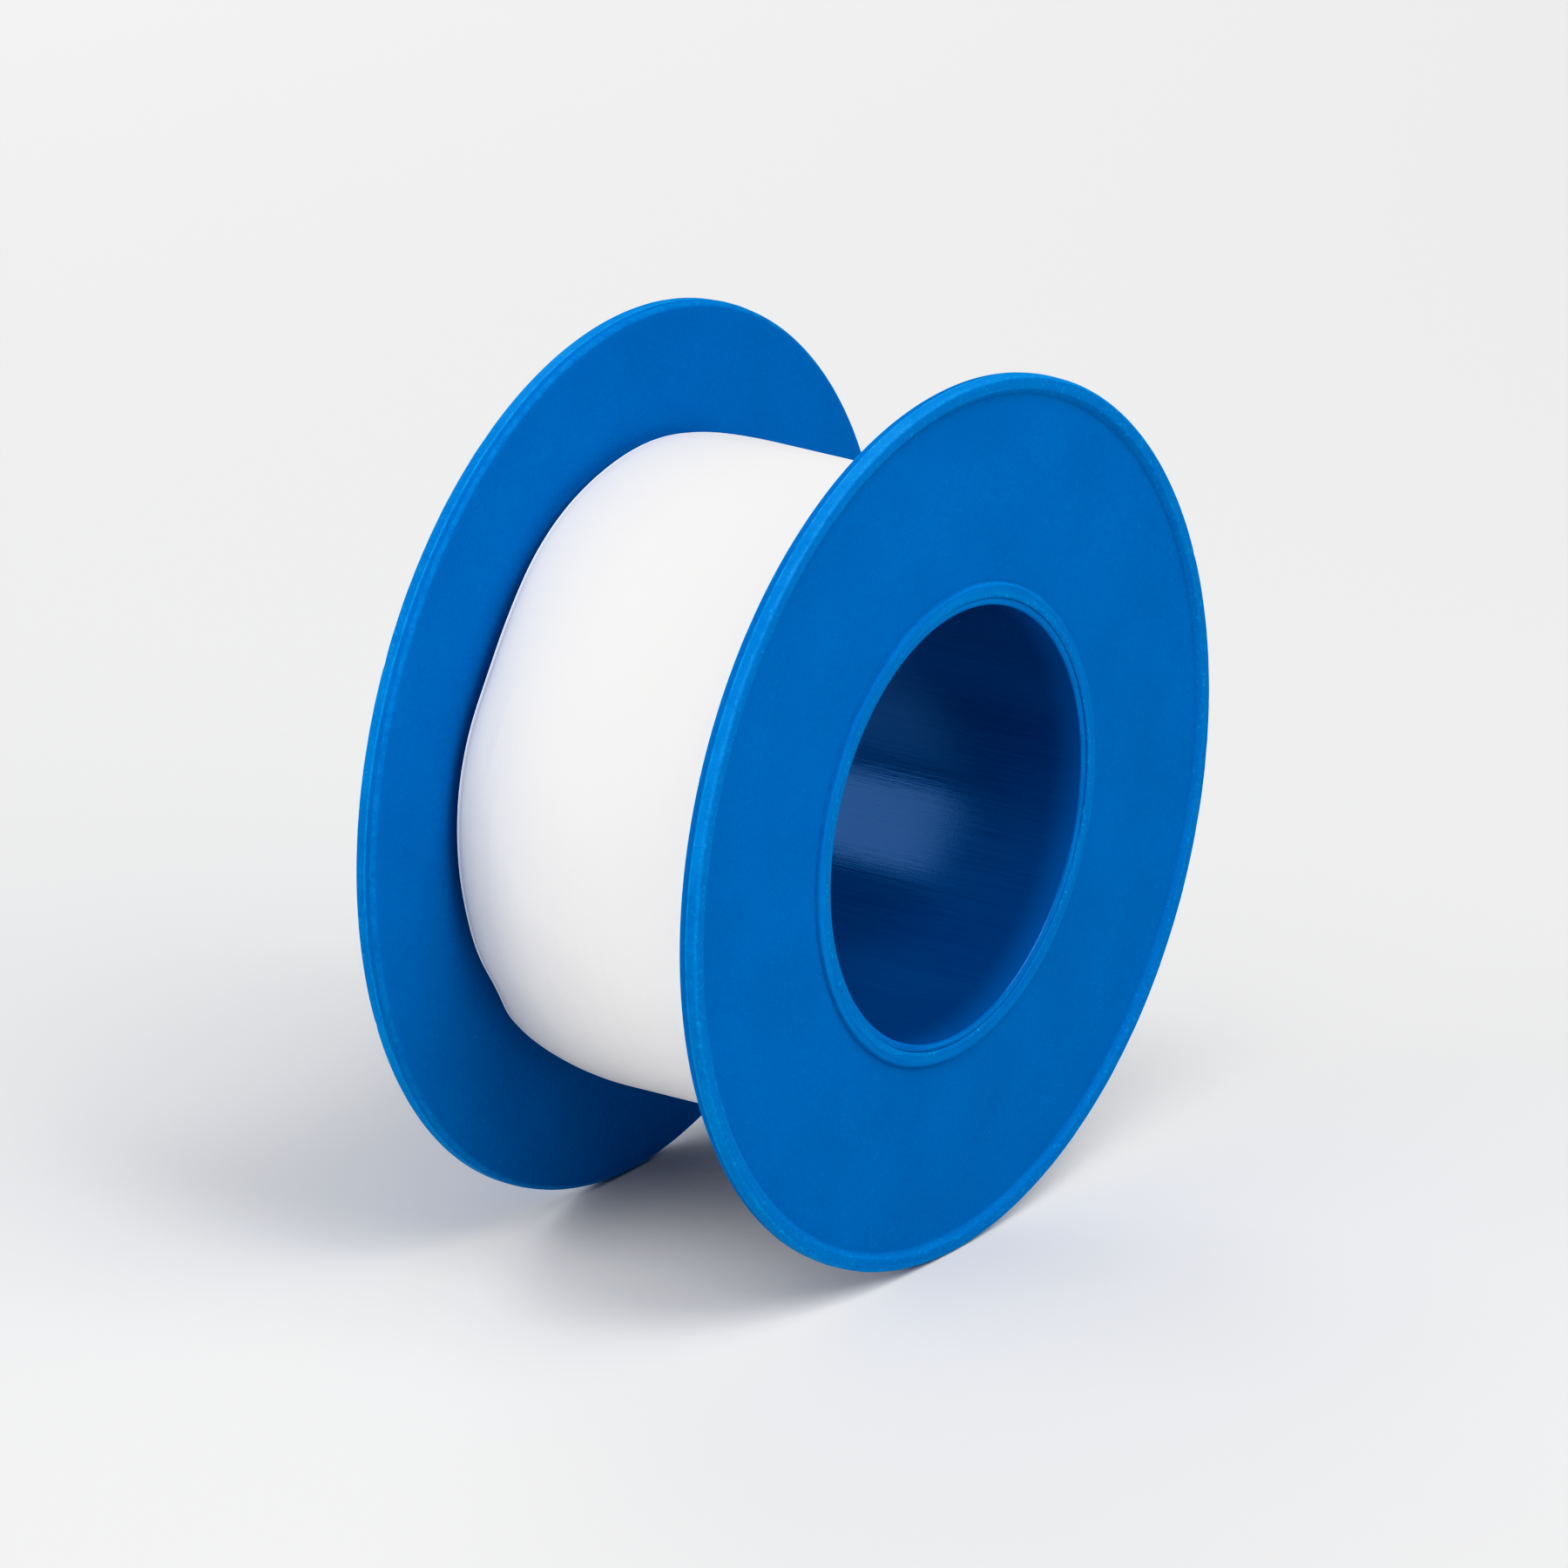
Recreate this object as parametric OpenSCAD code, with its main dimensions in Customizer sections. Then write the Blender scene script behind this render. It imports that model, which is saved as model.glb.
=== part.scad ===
// Roll of thread seal tape: soft white film wound on a moulded plastic spool.
// The spool is two mouldings. One is the hub with the rear flange, the other is
// the front flange, pressed over a thin spigot at the hub's front end.
// Millimetres, +Z up. The roll stands on its two rims with its axis along Y.
// The origin is the middle of that axis, and the front is the side at -Y.

/* [Film] */
// Width of the film
film_w = 19; // [12:0.5:25]
// Thickness of one turn of film as wound
film_t = 0.067; // [0.05:0.001:0.1]
// Length of film on the roll
film_len = 7000; // [3000:100:11000]
// Width over which each edge of the winding rounds off
shoulder_w = 4; // [1:0.1:5.5]
// How far the winding drops at each edge
shoulder_drop = 0.5; // [0.1:0.05:1.5]
// Angle of the film's free end, up from +X
free_end_a = -30; // [-80:1:40]
// Angle between the free end and the start of its turn
end_gap_a = 6; // [3:0.5:20]

/* [Flanges] */
// Diameter of both flanges
flange_d = 50; // [46:0.5:70]
// Thickness of each flange's plate
plate_t = 0.85; // [0.6:0.05:2]
// How far each plate stands further out at the hub than at its rim
dish = 0.2; // [0:0.05:0.8]
// Width of the bead round the outside of each rim
bead_w = 0.8; // [0.6:0.05:1.1]
// Height of that bead over the plate
bead_h = 0.35; // [0.1:0.01:0.4]
// Rounding of each rim's inner edge
rim_round = 0.3; // [0.05:0.05:0.4]

/* [Hub] */
// Diameter of the bore through the hub
bore_d = 24.4; // [20:0.1:25]
// Wall of the hub under the winding
hub_wall = 1.15; // [0.9:0.05:2]
// Wall of the spigot that carries the front flange
spigot_wall = 0.45; // [0.35:0.05:0.7]
// Rounding of the spigot's rim
spigot_round = 0.15; // [0.05:0.01:0.17]
// How far the spigot ends below the front collar's crown
spigot_drop = 0.1; // [0:0.02:0.2]
// Wall of the raised collar round each end of the bore
collar_wall = 1.3; // [1.1:0.05:2.5]
// Height of each collar over its plate
collar_h = 0.28; // [0.2:0.02:1]
// Rounding of each collar's outer edge
collar_round = 0.2; // [0.05:0.05:0.25]
// Rounding of the front collar's edge next to the spigot
seam_round = 0.1; // [0.05:0.01:0.2]
// Rounding of the bore's rear mouth
mouth_round = 0.3; // [0.1:0.05:0.4]

/* [Fits] */
// Gap between the film's edge and each flange at the rim
side_gap = 0.6; // [0.3:0.05:1.5]
// Radial running clearance of the winding on the hub
hub_clearance = 0.05; // [0.02:0.01:0.1]

/* [Hidden] */

$fn = 144;
shoulder_steps = 8;
spool_colour = [0, 0.4, 0.75];
film_colour = [0.94, 0.94, 0.93];

// Radii
flange_r = flange_d / 2;
bore_r = bore_d / 2;
spigot_r = bore_r + spigot_wall;
hub_r = bore_r + hub_wall;
collar_r = bore_r + collar_wall;
wound_r = hub_r + hub_clearance;
roll_r = sqrt(pow(wound_r, 2) + film_len * film_t / PI);
pack_r = roll_r - film_t;

// Heights along the axis, out from the middle
film_edge_h = film_w / 2;
rim_inner_h = film_edge_h + side_gap;
rim_face_h = rim_inner_h + plate_t;
seat_h = rim_inner_h + dish;
hub_face_h = seat_h + plate_t;
collar_top_h = hub_face_h + collar_h;
spigot_top_h = collar_top_h - spigot_drop;

// Middle of the bead's round section
bead_mid_r = flange_r - bead_w / 2;
bead_mid_h = rim_face_h + bead_h - bead_w / 2;

// Outline of one rounded edge of the winding, as [radius, height] out to the film's edge
function shoulder(r) = [
    for (i = [0:shoulder_steps])
        let (a = 90 * i / shoulder_steps)
            [r - shoulder_drop * (1 - cos(a)), film_edge_h - shoulder_w * (1 - sin(a))]
];

function reversed(points) = [for (i = [len(points) - 1:-1:0]) points[i]];
function flipped(points) = [for (p = points) [p.x, -p.y]];

// Outline across the winding's outside at crown radius r, from one film edge to the other
function crown(r) = concat(flipped(reversed(shoulder(r))), shoulder(r));

// The film's outer turn: its section, where it starts, and the points of its section at an angle
turn_section = concat(crown(roll_r), reversed(crown(pack_r)));
turn_start_a = free_end_a + end_gap_a;
turn_a = 360 - end_gap_a;
function turn_points(a) = [for (p = turn_section) [p.x * cos(a), p.x * sin(a), p.y]];
function least_gap(from, to) = min([for (p = from, q = to) norm(p - q)]);

echo(str("Radius of the roll: ", roll_r, " mm"));
echo(str("Least gap of the outer turn to itself: ",
         least_gap(turn_points(turn_start_a), turn_points(turn_start_a + turn_a)), " mm"));

// Sets a solid of revolution drawn round Z on the roll's axis, its top to the front
module facing_front() {
    rotate([90, 0, 0]) children();
}

// The same, its top to the rear
module facing_rear() {
    rotate([-90, 0, 0]) children();
}

// Section of a ring whose two upper edges are rounded
module rounded_ring(inner_r, outer_r, foot_h, top_h, inner_round, outer_round) {
    polygon([
        [inner_r, foot_h],
        [outer_r, foot_h],
        [outer_r, top_h - outer_round],
        [outer_r - outer_round, top_h],
        [inner_r + inner_round, top_h],
        [inner_r, top_h - inner_round],
    ]);
    translate([outer_r - outer_round, top_h - outer_round]) circle(outer_round);
    translate([inner_r + inner_round, top_h - inner_round]) circle(inner_round);
}

// Section of a flange: dished plate with a round bead at its rim, and the collar round a hole of inner_r
module flange_section(inner_r, inner_round) {
    collar_mid_r = (inner_r + collar_r) / 2;
    polygon([
        [collar_mid_r, seat_h],
        [collar_r, seat_h],
        [flange_r - rim_round, rim_inner_h],
        [flange_r, rim_inner_h + rim_round],
        [flange_r, bead_mid_h],
        [bead_mid_r, rim_face_h],
        [collar_r, hub_face_h],
        [collar_mid_r, hub_face_h],
    ]);
    translate([flange_r - rim_round, rim_inner_h + rim_round]) circle(rim_round);
    translate([bead_mid_r, bead_mid_h]) circle(bead_w / 2);
    rounded_ring(inner_r, collar_r, seat_h, collar_top_h, inner_round, collar_round);
}

// Section of the hub tube and the spigot at its front end, which points down
module hub_section() {
    translate([bore_r, -seat_h]) square([hub_wall, 2 * seat_h]);
    mirror([0, 1]) rounded_ring(bore_r, spigot_r, seat_h, spigot_top_h, spigot_round, spigot_round);
}

// Hub and rear flange, one moulding
module spool_body() {
    color(spool_colour) facing_rear() rotate_extrude() {
        flange_section(bore_r, mouth_round);
        hub_section();
    }
}

// Front flange, pressed over the spigot against the hub's shoulder
module front_flange() {
    color(spool_colour) facing_front() rotate_extrude() flange_section(spigot_r, seam_round);
}

// All the inner turns of film, free to turn on the hub
module tape_pack() {
    color(film_colour) facing_front() rotate_extrude()
        polygon(concat([[wound_r, -film_edge_h]], crown(pack_r), [[wound_r, film_edge_h]]));
}

// The last turn of film, from where it comes out from under its free end round to that end
module tape_outer_turn() {
    color(film_colour) facing_front() rotate([0, 0, turn_start_a]) rotate_extrude(angle = turn_a)
        polygon(turn_section);
}

spool_body();
front_flange();
tape_pack();
tape_outer_turn();
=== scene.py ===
from math import cos, pi, radians, sin, tan

import bpy
import numpy as np
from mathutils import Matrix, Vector


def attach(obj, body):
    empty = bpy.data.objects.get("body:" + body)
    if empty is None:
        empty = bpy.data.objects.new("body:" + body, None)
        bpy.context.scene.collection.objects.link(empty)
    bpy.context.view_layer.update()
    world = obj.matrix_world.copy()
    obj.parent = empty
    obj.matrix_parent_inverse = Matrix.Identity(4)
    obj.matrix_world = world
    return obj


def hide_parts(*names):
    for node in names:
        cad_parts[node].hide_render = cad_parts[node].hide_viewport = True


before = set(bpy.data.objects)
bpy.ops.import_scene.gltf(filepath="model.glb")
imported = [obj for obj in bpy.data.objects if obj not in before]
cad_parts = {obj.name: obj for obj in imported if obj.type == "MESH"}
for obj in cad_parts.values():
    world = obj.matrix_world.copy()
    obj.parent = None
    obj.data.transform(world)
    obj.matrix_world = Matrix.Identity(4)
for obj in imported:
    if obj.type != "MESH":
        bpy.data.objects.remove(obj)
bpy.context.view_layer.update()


# Hub and rear flange: one injection moulding of blue polypropylene, a thin tube with a
# dished disc at its rear end. The disc's rim is a round bead with the mould's parting line
# on its edge, a collar rings the bore, and a thin spigot at the front takes the other disc.

MM = 0.001

# Radii and places along the axis, out from the middle of the roll, in millimetres
flange_r = 25.0
edge_r = 24.94
parting_r = 24.96
bead_inner_r = 24.2
bead_foot_r = 23.85
collar_r = 13.5
hub_r = 13.35
spigot_r = 12.65
bore_r = 12.2
rim_inner_h = 10.1
parting_h = 10.66
bead_top_h = 11.3
rim_face_h = 10.96
seat_h = 10.3
hub_face_h = 11.15
collar_top_h = 11.43
spigot_top_h = 11.33

# Half the width of the parting line's ridge, and of the flash that wavers along it
parting_half = 0.07
flash_half = 0.09

# How far the rim's wall tapers in, and how far past its foot the bead wavers in full
edge_draft = 0.03
bead_blend = 0.3

# How far each rim stands out of square with the axis: the two lean together on the left
rim_lean = 0.11

# How far the rim, the bead's crown and the parting line waver
rim_waver = 0.01
crown_waver = 0.008
flash_waver = 0.015

# Degrees from one section to the next round a moulding
turn_step = 0.9


def outline(corners, arc_step=12, longest=0.7):
    """Points round a closed section, from its corners as (radius, place along the axis, rounding)."""
    points, count = [], len(corners)
    for k, (*here, rounding) in enumerate(corners):
        here = np.array(here)
        back, on = (np.array(corners[i % count][:2]) - here for i in (k - 1, k + 1))
        back, on = back / np.linalg.norm(back), on / np.linalg.norm(on)
        if not rounding:
            points.append(here)
            continue
        half = np.arccos(np.clip(back @ on, -1, 1)) / 2
        middle = here + (back + on) / np.linalg.norm(back + on) * rounding / sin(half)
        first, last = here + back * rounding / tan(half), here + on * rounding / tan(half)
        a, b = (np.arctan2(*(p - middle)[::-1]) for p in (first, last))
        sweep = (b - a + pi) % (2 * pi) - pi
        steps = max(2, round(abs(np.degrees(sweep)) / arc_step))
        for t in np.linspace(a, a + sweep, steps + 1):
            points.append(middle + rounding * np.array([cos(t), sin(t)]))
    full = []
    for here, on in zip(points, points[1:] + points[:1]):
        parts = max(1, int(np.ceil(np.linalg.norm(on - here) / longest)))
        full += [here + (on - here) * i / parts for i in range(parts)]
    return np.array(full)


def flange_corners(hole_r, hole_round):
    """Corners of a flange's section, from its hole over the collar, face and bead, and back inside."""
    return [
        (hole_r, collar_top_h, hole_round),
        (collar_r, collar_top_h, 0.2),
        (collar_r, hub_face_h, 0.1),
        (bead_foot_r, rim_face_h, 0.12),
        (bead_inner_r, bead_top_h, 0.1),
        (edge_r, bead_top_h, 0.2),
        (edge_r, parting_h + parting_half, 0),
        (parting_r, parting_h, 0),
        (edge_r - edge_draft / 2, parting_h - parting_half, 0),
        (edge_r - edge_draft, rim_inner_h, 0.3),
    ]


def mesh_object(name, points, faces, material):
    """A smooth shaded piece from points in millimetres."""
    mesh = bpy.data.meshes.new(name)
    mesh.from_pydata(np.asarray(points) * MM, [], faces)
    mesh.materials.append(material)
    mesh.polygons.foreach_set("use_smooth", [True] * len(mesh.polygons))
    piece = bpy.data.objects.new(name, mesh)
    bpy.context.collection.objects.link(piece)
    return piece


def grid_faces(rows, columns):
    """Quads over a grid of points that closes on itself both ways, rows of points after each other."""
    row, column = (i.ravel() for i in np.meshgrid(range(rows), range(columns), indexing="ij"))
    next_row, next_column = (row + 1) % rows, (column + 1) % columns
    return np.stack([
        row * columns + column,
        row * columns + next_column,
        next_row * columns + next_column,
        next_row * columns + column,
    ], axis=1).tolist()


def round_noise(angles, seed, lowest, highest):
    """A wavering line round the roll, between -1 and 1, of waves lowest to highest in number."""
    draw = np.random.default_rng(seed)
    waves = range(lowest, highest + 1)
    line = sum(draw.normal() * np.cos(n * angles + draw.uniform(0, 2 * pi)) / n ** 0.5 for n in waves)
    return line / np.abs(line).max()


def round_points(radius, along, turn):
    """Points at a radius, a place along Y and an angle round the roll's axis."""
    return np.stack([radius * np.cos(turn), along + 0 * turn, radius * np.sin(turn)], axis=2)


def turned(name, section, out, nicks, seed, material):
    """A moulded ring turned from a section. out is the way its flange faces along Y.

    nicks are little burrs and dents on the rim, as (degrees up from +X, depth, half width in degrees)."""
    close = [np.arange(a - 3 * w, a + 3 * w, w / 2) for a, _, w in nicks]
    degrees = np.concatenate([np.arange(0, 360, turn_step), *close]) % 360
    angles = np.radians(np.unique(np.round(degrees, 3)))
    r, h = section[:, 0][None, :], section[:, 1][None, :]
    turn = angles[:, None]

    # The moulding's rim wavers a little, and its bead's crown and parting line more finely
    outer = np.clip((r - collar_r) / (flange_r - collar_r), 0, 1)
    warp = rim_lean * outer * np.cos(turn) + rim_waver * outer ** 2 * round_noise(turn, seed, 2, 4)
    on_bead = np.clip((r - bead_foot_r) / bead_blend, 0, 1) * (h > rim_face_h)
    crown = crown_waver * on_bead * round_noise(turn, seed + 1, 20, 110)
    on_parting = np.exp(-((h - parting_h) / flash_half) ** 2) * (r > edge_r - 0.05)
    flash = flash_waver * on_parting * round_noise(turn, seed + 2, 8, 120)
    for angle, depth, width in nicks:
        away = (np.degrees(turn) - angle + 180) % 360 - 180
        flash = flash + depth * on_parting * np.exp(-(away / width) ** 2)
        crown = crown - depth * on_bead * np.exp(-((away - width) / width) ** 2)

    r, h = r + flash, h + warp + crown
    points = round_points(r, out * h, turn).reshape(-1, 3)
    faces = grid_faces(len(angles), len(section))
    if out < 0:
        faces = [face[::-1] for face in faces]
    return mesh_object(name, points, faces, material)


class Tone:
    """A socket in one material's nodes. Sums and products of tones add its Math nodes."""

    def __init__(self, tree, socket=None):
        self.tree, self.socket = tree, socket

    def node(self, kind, settings=None, sockets=None):
        """A node of that type, with its settings made first and then its sockets' values and links."""
        made = self.tree.nodes.new("ShaderNode" + kind)
        for name, value in (settings or {}).items():
            setattr(made, name, value)
        for name, value in (sockets or {}).items():
            if isinstance(value, Tone):
                self.tree.links.new(value.socket, made.inputs[name])
            else:
                made.inputs[name].default_value = value
        return Tone(self.tree, made.outputs[0])

    def output(self, name):
        return Tone(self.tree, self.socket.node.outputs[name])

    def math(self, operation, *values):
        return self.node("Math", {"operation": operation}, dict(enumerate(values)))

    def __add__(self, other):
        return self.math("ADD", self, other)

    def __sub__(self, other):
        return self.math("SUBTRACT", self, other)

    def __rsub__(self, other):
        return self.math("SUBTRACT", other, self)

    def __mul__(self, other):
        return self.math("MULTIPLY", self, other)

    def __pow__(self, other):
        return self.math("POWER", self, other)

    __radd__, __rmul__ = __add__, __mul__

    def rise(self, low, high):
        """0 below low, 1 above high, smooth in between."""
        return self.node("MapRange", {"interpolation_type": "SMOOTHSTEP"},
                         {"Value": self, "From Min": low, "From Max": high})

    def between(self, one, other):
        """The colour that lies this far from one to the other."""
        return self.node("Mix", {"data_type": "RGBA"}, {0: self, 6: one, 7: other}).output(2)

    def at(self, x, y, z):
        """A place made of three values."""
        return self.node("CombineXYZ", sockets={0: x, 1: y, 2: z})

    def noise(self, scale, detail=2.0, roughness=0.5):
        """Noise over this place, about 0.5."""
        return self.node("TexNoise", sockets={"Vector": self, "Scale": scale, "Detail": detail,
                                              "Roughness": roughness})

    def shape(self):
        """The surface's normal raised by this height in millimetres."""
        return self.node("Bump", sockets={"Strength": 1.0, "Distance": MM, "Height": self})


def start_material(name):
    """A new material: its shader, and the place on the piece in millimetres, whole and as x, y and z."""
    material = bpy.data.materials.new(name)
    material.use_nodes = True
    tree = material.node_tree
    place = Tone(tree).node("TexCoord").output("Object")
    place = place.node("VectorMath", {"operation": "SCALE"}, {0: place, "Scale": 1 / MM})
    parts = place.node("SeparateXYZ", sockets={0: place})
    return material, tree.nodes["Principled BSDF"], place, [parts.output(k) for k in range(3)]


def feed(shader, name, tone):
    """Links a tone to one of the shader's sockets."""
    tone.tree.links.new(tone.socket, shader.inputs[name])


def moulded_blue(name):
    """Blue polypropylene off an etched mould, its collar marked by turning, its bead scuffed paler.
    Its bead and rim wall are also painted paler as light that falls on them, and painted highlight
    lines run along its parting line and rim corners, and on its burrs.
    """
    material, shader, place, (x, y, z) = start_material(name)
    r = (x * x + z * z) ** 0.5
    h = y.math("ABSOLUTE", y) - x * (rim_lean / flange_r)

    on_collar = r.rise(bore_r + 0.05, bore_r + 0.2) * (1 - r.rise(collar_r - 0.05, collar_r + 0.05))
    on_bead = r.rise(bead_foot_r, bead_foot_r + 0.2) * h.rise(rim_face_h - 0.1, rim_face_h)
    on_wall = r.rise(edge_r - 0.3, edge_r - 0.05) * h.rise(parting_h - 0.12, parting_h)
    on_parting = on_wall * (1 - (h - parting_h).math("ABSOLUTE", h - parting_h).rise(0.03, 0.09))
    outer_corner = (r + h).rise(edge_r + bead_top_h - 0.19, edge_r + bead_top_h - 0.13)
    inner_corner = (r - h).rise(edge_r - rim_inner_h - 0.31, edge_r - rim_inner_h - 0.22)

    cloud = place.noise(0.22, 3.0)
    etch = place.noise(6.0, 3.0, 0.6)
    rings = place.at(r * 7.0, x * 0.12, z * 0.12).noise(1.0, 3.0, 0.65)
    scuffs = place.noise(1.6, 5.0, 0.7)
    grains = place.noise(9.0, 2.0, 0.6).rise(0.5, 0.68)
    by_seam = r.rise(spigot_r - 0.1, spigot_r + 0.05) * (1 - r.rise(spigot_r + 0.2, spigot_r + 0.45))
    burrs = by_seam.math("MAXIMUM", by_seam, on_bead * 0.6) * place.noise(3.2, 3.0, 0.7).rise(0.57, 0.66)

    # Sparse pale specks of dust
    cells = place.node("TexVoronoi", sockets={"Vector": place, "Scale": 0.55})
    picked = cells.output("Color").node("SeparateColor", sockets={0: cells.output("Color")})
    specks = (1 - cells.output("Distance").rise(0.02, 0.06)) * picked.rise(0.55, 0.6)

    deep, mid = (0.0, 0.086, 0.335, 1), (0.0, 0.106, 0.395, 1)
    pale, bright = (0.0, 0.2, 0.56, 1), (0.0, 0.29, 0.66, 1)
    colour = (cloud.rise(0.3, 0.7) * 0.4 + etch.rise(0.25, 0.75) * 0.6).between(deep, mid)
    # Painted light: the bead is partly scuffed paler and partly painted paler, and the rim's wall is
    # painted paler, as light that falls on them
    rim_wear_and_painted_light = on_bead.math("MAXIMUM", on_bead * 0.24, on_wall * 0.5)
    streaks = rings.rise(0.3, 0.7)
    # The painted light on the bead and wall, with the collar's turning marks and pale grains
    paler_wear_and_painted_light = rim_wear_and_painted_light * (0.15 + 0.9 * scuffs + 0.8 * streaks) + on_collar * streaks * 0.45 + grains * 0.2
    colour = paler_wear_and_painted_light.between(colour, pale)
    # Painted highlights: bright lines on the parting line and the rim's outer and inner corners, and bright
    # burrs by the seam and on the bead
    lines = on_parting.math("MAXIMUM", on_parting * 0.8, outer_corner * 0.35) + inner_corner * 0.45
    colour = (lines * (0.12 + 0.45 * scuffs.rise(0.35, 0.62)) + burrs * 0.7).between(colour, bright)
    colour = (specks * 0.5).between(colour, pale)
    feed(shader, "Base Color", colour)
    feed(shader, "Roughness", 0.4 + 0.12 * scuffs - 0.06 * on_bead)
    feed(shader, "Normal", (etch * 0.006 + on_collar * rings * 0.02 + burrs * 0.04 + specks * 0.02).shape())
    shader.inputs["IOR"].default_value = 1.49
    shader.inputs["Specular IOR Level"].default_value = 0.02
    shader.inputs["Specular Tint"].default_value = (0.0, 0.5, 1.0, 1)
    shader.inputs["Subsurface Weight"].default_value = 0.5
    shader.inputs["Subsurface Radius"].default_value = (0.2, 0.9, 1.0)
    shader.inputs["Subsurface Scale"].default_value = 0.8 * MM
    return material


def polished_bore():
    """The same blue plastic off the mould's smooth core pin, drawn into fine lines as the pin came out.
    Its colour is painted darker as shade inside the bore, and painted lighter next to the front mouth.
    """
    material, shader, place, (x, y, z) = start_material("drawn_bore_blue")
    draws = place.at(x * 7.0, y * 0.12, z * 7.0).noise(1.0, 3.0, 0.65)
    grain = place.noise(9.0, 2.0)
    # Painted shade: the bore's blue is darker than the flanges' blue, as shade deep inside the hub
    shade = draws.rise(0.25, 0.75).between((0.0, 0.026, 0.13, 1), (0.0, 0.034, 0.155, 1))
    # Light comes through the thin wall next to the front mouth
    lit = (0 - y).rise(9.0, spigot_top_h)
    feed(shader, "Base Color", lit.between(shade, (0.0, 0.06, 0.26, 1)))
    feed(shader, "Roughness", 0.09 + 0.14 * draws)
    feed(shader, "Normal", (draws * 0.01 + grain * 0.003).shape())
    shader.inputs["IOR"].default_value = 1.49
    shader.inputs["Specular IOR Level"].default_value = 0.8
    shader.inputs["Specular Tint"].default_value = (0.24, 0.47, 1.0, 1)
    return material


spool_section = outline(flange_corners(bore_r, 0.3) + [
    (hub_r, seat_h, 0.15),
    (hub_r, -seat_h, 0),
    (spigot_r, -seat_h, 0),
    (spigot_r, -spigot_top_h, 0.08),
    (bore_r, -spigot_top_h, 0.15),
])
rear_nicks = [(152, 0.03, 0.6), (201, 0.04, 0.5), (78, 0.03, 0.7), (318, 0.05, 0.5)]
rear_blue = moulded_blue("rear_moulding_blue")
spool = turned("hub_and_rear_flange", spool_section, 1, rear_nicks, 11, rear_blue)
spool.data.materials.append(polished_bore())
for face in spool.data.polygons:
    face.material_index = int(face.center.xz.length < (bore_r + 0.05) * MM)
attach(spool, "spool")
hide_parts("spool_body")


# Front flange: a second moulding of the same blue polypropylene, a disc like the rear one
# with a wider hole. It is pressed over the hub's spigot, whose end shows as a fine ring
# inside the collar, and it has a few burrs of flash on its rim.

front_section = outline(flange_corners(spigot_r, 0.06) + [(spigot_r, seat_h, 0)])
front_nicks = [
    (178, 0.035, 0.35), (170, 0.03, 0.5), (119.5, 0.035, 0.6), (231, 0.03, 0.4), (20, 0.03, 0.5),
]
front_blue = moulded_blue("front_moulding_blue")
front = turned("front_flange_disc", front_section, -1, front_nicks, 23, front_blue)
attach(front, "spool")
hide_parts("front_flange")


# Inner turns: some seventy turns of soft white unsintered film, wound straight on the hub.
# They stay as wound by their own tension, and the turns' edges make fine uneven rings at
# each side, next to the flanges.

film_t = 0.067
film_edge_h = 9.5
wound_r = 13.4
roll_r = 18.13

# Width of the winding's round shoulder and of the lip that ends it, and the share of a quarter
# ellipse that the shoulder falls through
shoulder_w = 4.0
lip_w = 0.15
shoulder_share = 0.995

# How far the inner turns end below the last one's outside, and their width at the top and at
# the hub as a share of the film's
core_depth = 2.15 * film_t
core_width = 0.997
foot_width = 0.99

# Rings of points down each side of the winding, and how far they lie out of line
side_rings = 31
side_uneven = 0.03

# Degrees over which the lie of an edge is smoothed
lie_blur = 3.5

# How the film's edges lie: degrees up from +X, how far they drop in, how far they are drawn in
rear_lie = np.array([
    (20, 0.45, 0.05), (66, 0.42, 0.05), (88, 0.36, -0.03), (104, 0.36, 0.0), (116, 0.32, -0.02),
    (126, 0.38, 0.01), (137, 0.58, 0.13), (149, 0.66, 0.19), (160, 0.44, 0.02), (171, 0.3, 0.0),
    (185, 0.46, 0.03), (195, 0.62, 0.12), (204, 0.7, 0.14), (213, 0.95, 0.38), (222, 0.68, 0.08),
    (231, 0.9, 0.26), (242, 1.15, 0.5), (290, 0.6, 0.12), (330, 0.5, 0.1),
])
front_lie = np.array([
    (0, 0.5, 0.1), (60, 0.42, 0.02), (110, 0.5, 0.06), (170, 0.55, 0.12), (230, 0.62, 0.15),
    (300, 0.45, 0.04),
])


def lie_round(lie, angles, column):
    """One column of an edge's lie, smooth all round the roll."""
    fine = np.arange(0, 360, 1.0)
    line = np.interp(fine, lie[:, 0], lie[:, column], period=360)
    kernel = np.exp(-((fine + 180) % 360 - 180) ** 2 / (2 * lie_blur ** 2))
    line = np.fft.irfft(np.fft.rfft(line) * np.fft.rfft(kernel / kernel.sum()), 360)
    return np.interp(np.degrees(angles) % 360, fine, line, period=360)


def across(angles, crown_r, stops):
    """Radius and place along Y across the winding, stops from -1 at its front edge to 1 at its rear."""
    radius, along = np.empty((2, len(angles), len(stops)))
    for side, lie in ((-1, front_lie), (1, rear_lie)):
        here = stops * side >= 0
        edge = film_edge_h - lie_round(lie, angles, 2)[:, None]
        drop = lie_round(lie, angles, 1)[:, None]
        h = np.abs(stops[here])[None, :] * edge
        into = np.clip((h - edge + shoulder_w) / (shoulder_w - lip_w), 0, 1)
        radius[:, here] = crown_r - drop * (1 - np.sqrt(1 - (shoulder_share * into) ** 2))
        along[:, here] = side * h
    return radius, along


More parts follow.
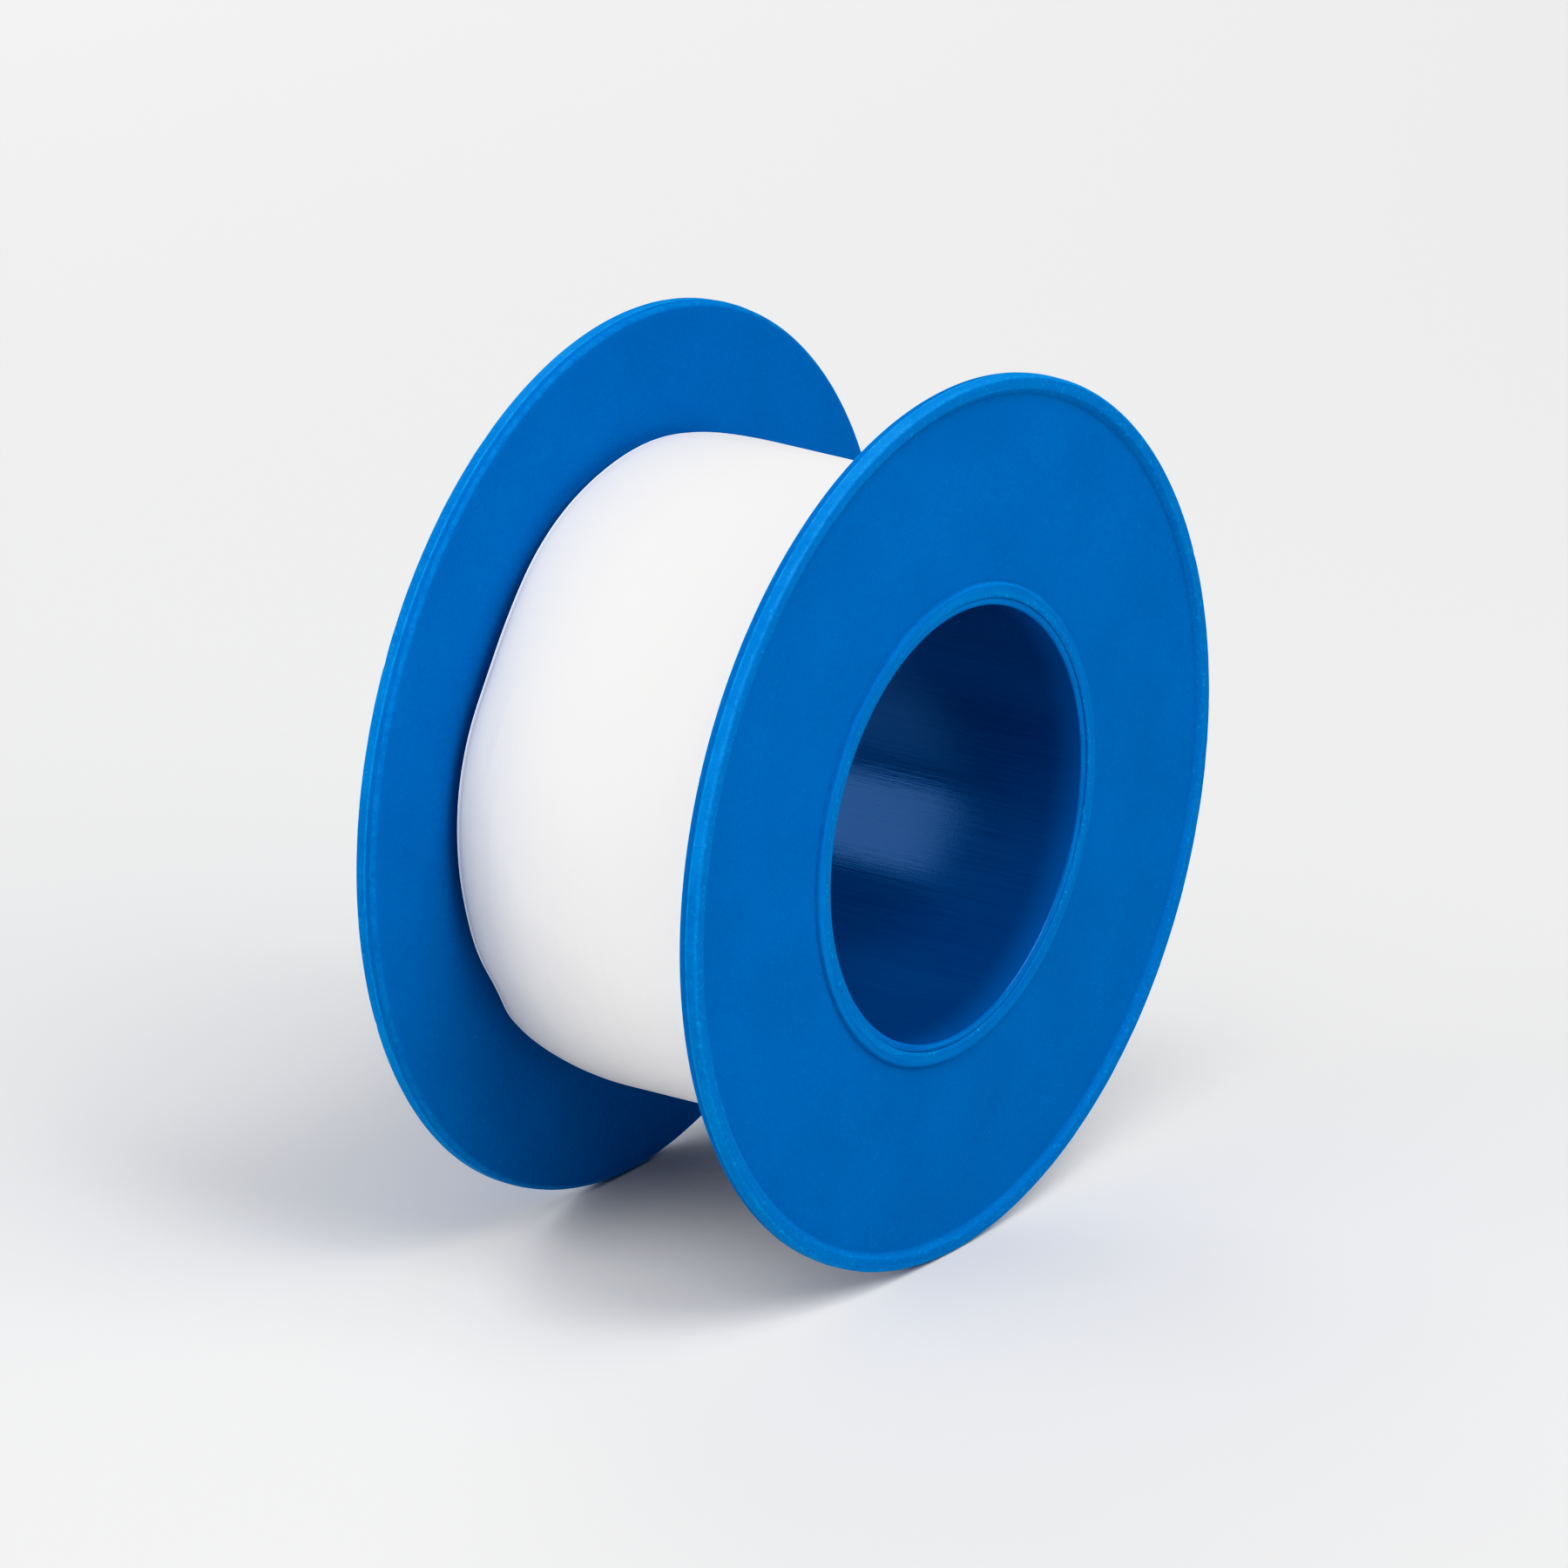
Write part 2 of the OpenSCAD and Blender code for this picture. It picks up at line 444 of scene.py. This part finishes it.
def film_white(name, rings):
    """Soft white film, streaked along its length by the rollers that drew it out.

    rings is how much its turns' edges show."""
    material, shader, place, (x, y, z) = start_material(name)
    r = (x * x + z * z) ** 0.5
    streaks = place.at(x * 0.04, y * 2.2, z * 0.04).noise(1.0, 4.0, 0.6)
    fibres = place.at(x * 0.5, y * 11.0, z * 0.5).noise(1.0, 3.0, 0.6)
    cloud = place.noise(0.16, 2.0)
    edges = place.at(r * 8.0, x * 0.1, z * 0.1).noise(1.0, 2.0, 0.7)
    bright, dull = (0.912, 0.895, 0.868, 1), (0.85, 0.83, 0.805, 1)
    tone = (streaks * 0.5 + cloud * 0.5).rise(0.3, 0.75)
    feed(shader, "Base Color", (tone * 0.4 + rings * edges * 0.5).between(bright, dull))
    feed(shader, "Roughness", 0.5 + 0.15 * fibres)
    feed(shader, "Normal", (streaks * 0.006 + fibres * 0.0018 + rings * edges * 0.03).shape())
    shader.inputs["IOR"].default_value = 1.36
    return material


core_angles = np.radians(np.arange(0, 360, 1.0))
core_stops = np.concatenate([
    np.linspace(-1, -0.6, 14), np.linspace(-0.55, 0.55, 9), np.linspace(0.6, 1, 14),
])
core_r, core_y = across(core_angles, roll_r - core_depth, core_stops)
core_y = core_y * core_width

# Each side face runs from the film's edge down to the hub, its turns a little in or out of line
side_r = np.linspace(0, 1, side_rings + 1)[1:, None]
unevenness = np.random.default_rng(5).normal(0, side_uneven, (2, side_rings))
sides = []
for column, jitter, reach in ((-1, unevenness[0], film_edge_h), (0, unevenness[1], -film_edge_h)):
    top_r, top_y = core_r[:, column][None, :], core_y[:, column][None, :]
    r = top_r + (wound_r - top_r) * side_r
    y = top_y + (reach * foot_width - top_y) * side_r + jitter[:, None] * (side_r < 1)
    sides.append((r, y))
rear_side, front_side = sides
core_r = np.concatenate([core_r.T, rear_side[0], front_side[0][::-1]])
core_y = np.concatenate([core_y.T, rear_side[1], front_side[1][::-1]])
core_points = round_points(core_r, core_y, core_angles).reshape(-1, 3)
core = mesh_object("film_inner_turns", core_points, grid_faces(*core_r.shape),
                   film_white("wound_film_edges", 1.0))
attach(core, "winding")
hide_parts("tape_pack")


# Last turn: the end of the same strip, which lies on the others and laps over its own start.
# Its free end is cut square and clings to the turn below, on the side away from the view,
# and its edges curl down and wander a little where the winding has slipped.

# Degrees up from +X of the free end, and degrees of lap under it
free_end_a = -30.0
lap_a = 16.0

# The strip's thickness, just clear of the turn below, and its underside's share of its width
film_skin = film_t - 0.004
under_width = 0.9985

# Height of the film's slow swell, the angles of its wave across the film, and a crease's half width
swell_h = 0.02
swell_span, swell_start = 2.2, 0.6
crease_half_w = 0.2

# Points round the turn, and from the middle of the film to each edge
film_steps = 401
half_stops = 56

turn_angles = np.radians(np.linspace(free_end_a - 360 - lap_a, free_end_a, film_steps))
quarter = np.sin(np.linspace(0, pi / 2, half_stops))
film_stops = np.concatenate([-quarter[:0:-1], quarter])
climb = film_t * (turn_angles - turn_angles[-1]) / (2 * pi)
film_r, film_y = across(turn_angles, roll_r, film_stops)
film_r = film_r + climb[:, None]

# Faint creases where the film was drawn over itself: degrees up from +X, place along Y, length,
# lean, height
creases = [(107, -2.4, 5.0, 0.25, 0.02), (112, -3.6, 4.0, 0.2, 0.02), (99, -5.2, 3.0, -0.5, 0.025),
           (160, 7.4, 6.0, 0.1, 0.025), (171, 6.9, 5.0, 0.12, 0.02), (188, 8.3, 2.0, 0.5, 0.025),
           (255, 3.0, 6.0, 0.2, 0.015), (310, -4.0, 7.0, 0.15, 0.012), (30, 5.0, 5.0, -0.2, 0.015)]
for angle, y, length, lean, height in creases:
    along = roll_r * ((turn_angles[:, None] - radians(angle) + pi) % (2 * pi) - pi)
    aside = film_y - y - lean * along
    film_r = film_r + height * np.exp(-(aside / crease_half_w) ** 2 - (along / (length / 2)) ** 2)
swell = np.cos(film_y / film_edge_h * swell_span + swell_start)
film_r = film_r + swell_h * round_noise(turn_angles, 31, 3, 9)[:, None] * swell

# The strip's outside and its underside, joined along both edges and closed at both ends
outer = round_points(film_r, film_y, turn_angles[:, None])
under = round_points(film_r - film_skin, film_y * under_width, turn_angles[:, None])
rows, columns = film_r.shape
film_points = np.concatenate([outer, under[:, ::-1]], axis=1).reshape(-1, 3)
wide = 2 * columns
film_faces = [f for f in grid_faces(rows, wide) if f[0] // wide < rows - 1]
for row, first, step in ((0, 0, 1), (rows - 1, columns - 1, -1)):
    for k in range(columns - 1):
        a = row * wide + first + step * k
        b = a + step
        under_a, under_b = ((2 * row + 1) * wide - 1 - i for i in (a, b))
        film_faces.append([a, b, under_b, under_a])
film = mesh_object("film_last_turn", film_points, film_faces, film_white("drawn_film", 0.0))
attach(film, "winding")
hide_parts("tape_outer_turn")


# Floor: a plain pale studio surface that the roll stands on with both rims. It is matt, and it
# runs on behind the roll past the edges of the view.

floor_material, floor_shader, floor_place, _ = start_material("pale_floor")
floor_grey, floor_pale = (0.65, 0.65, 0.65, 1), (0.67, 0.67, 0.67, 1)
feed(floor_shader, "Base Color", floor_place.noise(0.004, 2.0).between(floor_grey, floor_pale))
floor_shader.inputs["Roughness"].default_value = 0.9
floor_shader.inputs["Specular IOR Level"].default_value = 0.1
floor_half = 3000.0
floor_z = -flange_r
floor = mesh_object("floor", [(-floor_half, -floor_half, floor_z), (floor_half, -floor_half, floor_z),
                              (floor_half, floor_half, floor_z), (-floor_half, floor_half, floor_z)],
                    [(0, 1, 2, 3)], floor_material)


# Light: four soft boxes in a dim room. One far on the left shines into the bore, one over the
# camera's left lights the film, the strongest, over its right, lights the flanges' faces, and
# one behind the roll lights the floor there.

view_turn, view_rise = radians(-55.65), radians(20.64)
to_camera = np.array([sin(view_turn) * cos(view_rise), -cos(view_turn) * cos(view_rise), sin(view_rise)])
to_right = np.array([cos(view_turn), sin(view_turn), 0.0])
to_top = np.cross(to_camera, to_right)


def face_roll(thing, place):
    """Puts a lamp or the camera at a place in metres, facing the roll."""
    thing.location = place
    thing.rotation_euler = Vector(place).to_track_quat("Z", "Y").to_euler()


def soft_lamp(name, side, rise, front, distance, width, height, watts):
    """A soft box that faces the roll. side, rise and front are its way right, up and near in the view."""
    lamp = bpy.data.lights.new(name, "AREA")
    lamp.shape = "RECTANGLE"
    lamp.size, lamp.size_y = width, height
    lamp.energy = watts
    holder = bpy.data.objects.new(name, lamp)
    bpy.context.collection.objects.link(holder)
    way = side * to_right + rise * to_top + front * to_camera
    face_roll(holder, way / np.linalg.norm(way) * distance)
    return holder


soft_lamp("left_box", -0.869, 0.317, 0.38, 0.8, 0.52, 0.55, 3.1)
soft_lamp("front_box", -0.3, 0.54, 0.82, 0.5, 0.38, 0.44, 1.6)
soft_lamp("right_box", 0.5, 0.58, 0.65, 0.5, 0.36, 0.42, 3.15)
# The box behind puts no glint on the rims
back_box = soft_lamp("back_box", -0.3, 0.6, -0.75, 0.5, 0.3, 0.3, 2.3)
back_box.visible_glossy = False

world = bpy.data.worlds.new("room")
bpy.context.scene.world = world
world.use_nodes = True
world.node_tree.nodes["Background"].inputs["Color"].default_value = (1.0, 1.0, 1.0, 1)
world.node_tree.nodes["Background"].inputs["Strength"].default_value = 0.01
bpy.context.scene.view_settings.view_transform = "Khronos PBR Neutral"


# Camera: a long lens from the front left, a little above the roll. It stands far off, so that
# both flanges come out nearly the same size.

camera = bpy.data.objects.new("camera", bpy.data.cameras.new("camera"))
bpy.context.collection.objects.link(camera)
bpy.context.scene.camera = camera
camera.data.sensor_width = 36.0
camera.data.lens = 503.7
camera.data.clip_start, camera.data.clip_end = 0.1, 20.0
camera_distance = 1.2
framing_left, framing_down = 0.096 * MM, 0.014 * MM
face_roll(camera, to_camera * camera_distance)
camera.location = to_camera * camera_distance - framing_left * to_right - framing_down * to_top
